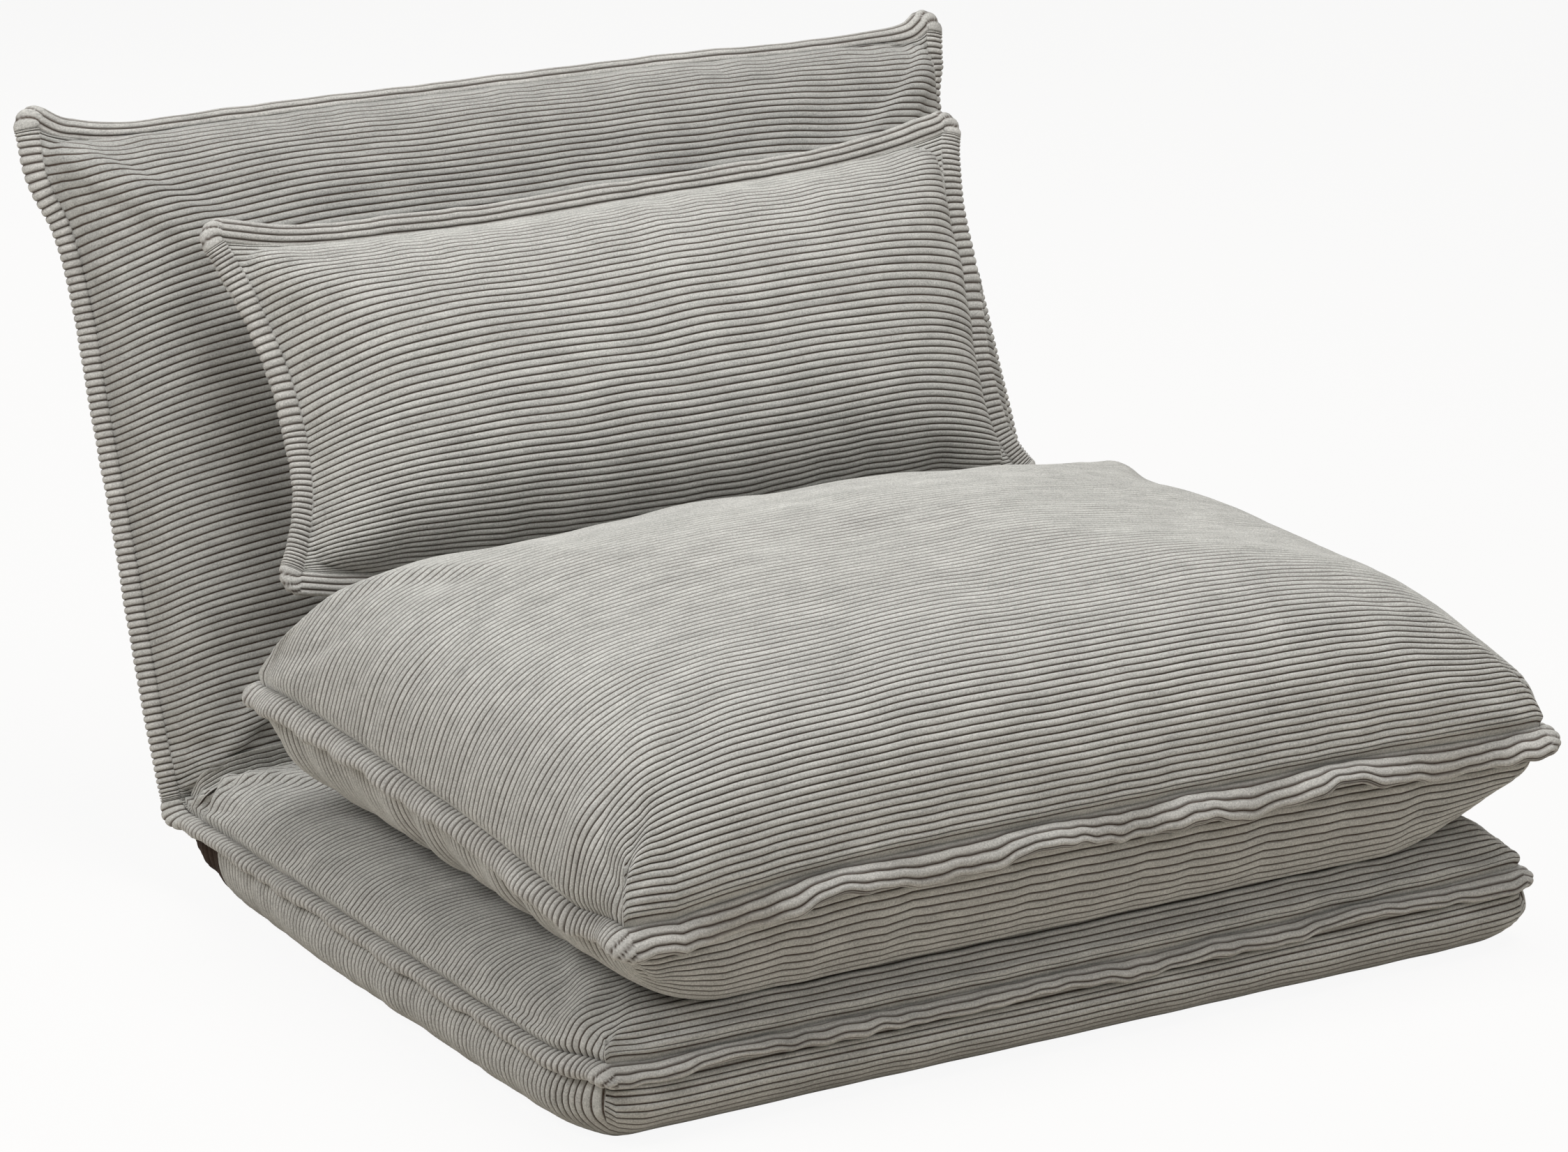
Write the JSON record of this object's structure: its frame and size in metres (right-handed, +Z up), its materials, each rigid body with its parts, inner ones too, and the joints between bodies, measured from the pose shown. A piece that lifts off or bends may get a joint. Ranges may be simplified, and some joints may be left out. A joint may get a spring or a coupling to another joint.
{
  "type": "chair bed",
  "caption": "Legless floor chair bed in wide-wale corduroy: padded base, reclining back on hinged steel tube frames, thick seat that turns forward into a bed, and a loose lumbar pillow.",
  "frame": {"origin": "middle of the base's floor face", "axes": "+X across the width, -Y towards the front of the seat, +Z up"},
  "size_m": [1.0082, 1.0451, 0.6539],
  "materials": {
    "corduroy": "matte",
    "welt": "matte",
    "lining": "matte",
    "foam": "matte",
    "wadding": "matte",
    "tape": "matte",
    "steel": "satin"
  },
  "bodies": {
    "base": {"base_top_cover": "corduroy", "base_side_band": "corduroy", "base_floor_lining": "lining", "base_upper_foam": "foam", "base_lower_foam": "foam", "base_welt": "welt", "base_frame": "steel", "base_crossbar": "steel", "base_hinge_arm_left": "steel", "base_hinge_arm_right": "steel", "hinge_rivet_left": "steel", "hinge_rivet_right": "steel", "fold_gusset": "corduroy", "seat_hinge_tape": "tape"},
    "back": {"back_front_cover": "corduroy", "back_rear_cover": "corduroy", "back_front_foam": "foam", "back_rear_foam": "foam", "back_welt": "welt", "back_frame": "steel", "back_crossbar": "steel", "back_hinge_arm_left": "steel", "back_hinge_arm_right": "steel"},
    "seat": {"seat_top_cover": "corduroy", "seat_under_cover": "corduroy", "seat_topper": "wadding", "seat_foam": "foam", "seat_welt": "welt"},
    "pillow": {"pillow_front_cover": "corduroy", "pillow_rear_cover": "corduroy", "pillow_insert": "wadding", "pillow_welt": "welt"}
  },
  "joints": [
    {"name": "back_recline", "type": "hinge", "parent": "base", "child": "back", "pos_m": [0, 0.375, 0.065], "axis": [-1, 0, 0], "range_deg": [0, 66.5]},
    {"name": "seat_turn", "type": "hinge", "parent": "base", "child": "seat", "pos_m": [0, -0.4046, 0.18955], "axis": [1, 0, 0], "range_deg": [0, 180]},
    {"name": "pillow_height", "type": "slide", "parent": "back", "child": "pillow", "axis": [0, 0.3987, 0.9171], "range_m": [0, 0.12]}
  ]
}
